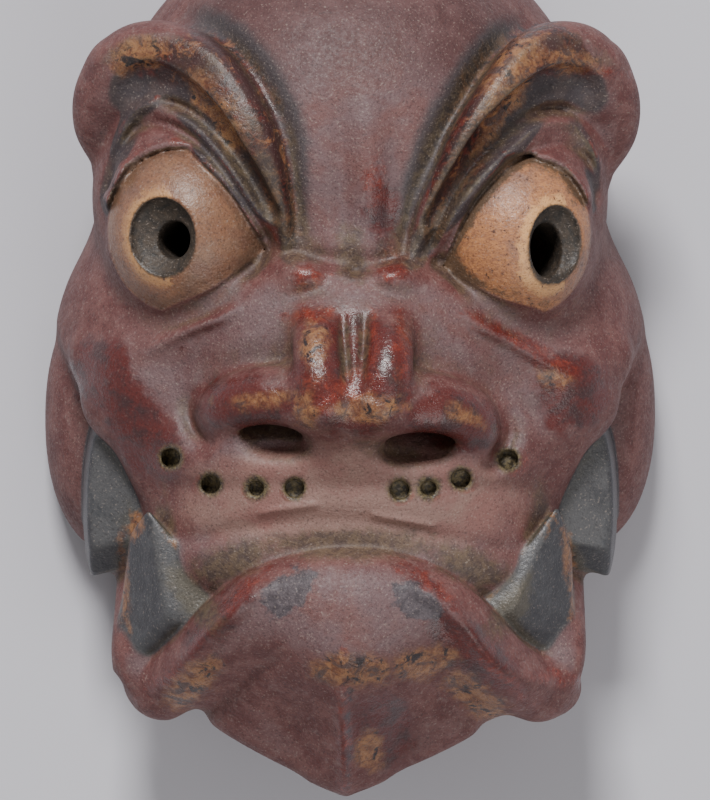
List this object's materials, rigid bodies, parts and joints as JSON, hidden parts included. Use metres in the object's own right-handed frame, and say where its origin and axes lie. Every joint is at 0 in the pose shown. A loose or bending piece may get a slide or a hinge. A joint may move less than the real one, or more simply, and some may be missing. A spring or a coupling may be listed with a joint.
{
  "type": "mask netsuke",
  "caption": "Carved and lacquered wooden mask netsuke of a scowling demon with shut mouth and crossed tusks, its back hollowed and spanned by a cord bar.",
  "frame": {"origin": "middle of the mask's outline, in the flat plane of the rim that it lies on", "axes": "+Z out of the face, +Y towards the crown, +X towards the viewer's right when the face is seen from +Z"},
  "size_m": [0.0324, 0.046, 0.0217],
  "materials": {
    "worn_lacquer": "worn dark red lacquer over wood, satin"
  },
  "bodies": {
    "root": {"mask": "worn_lacquer"}
  },
  "joints": []
}
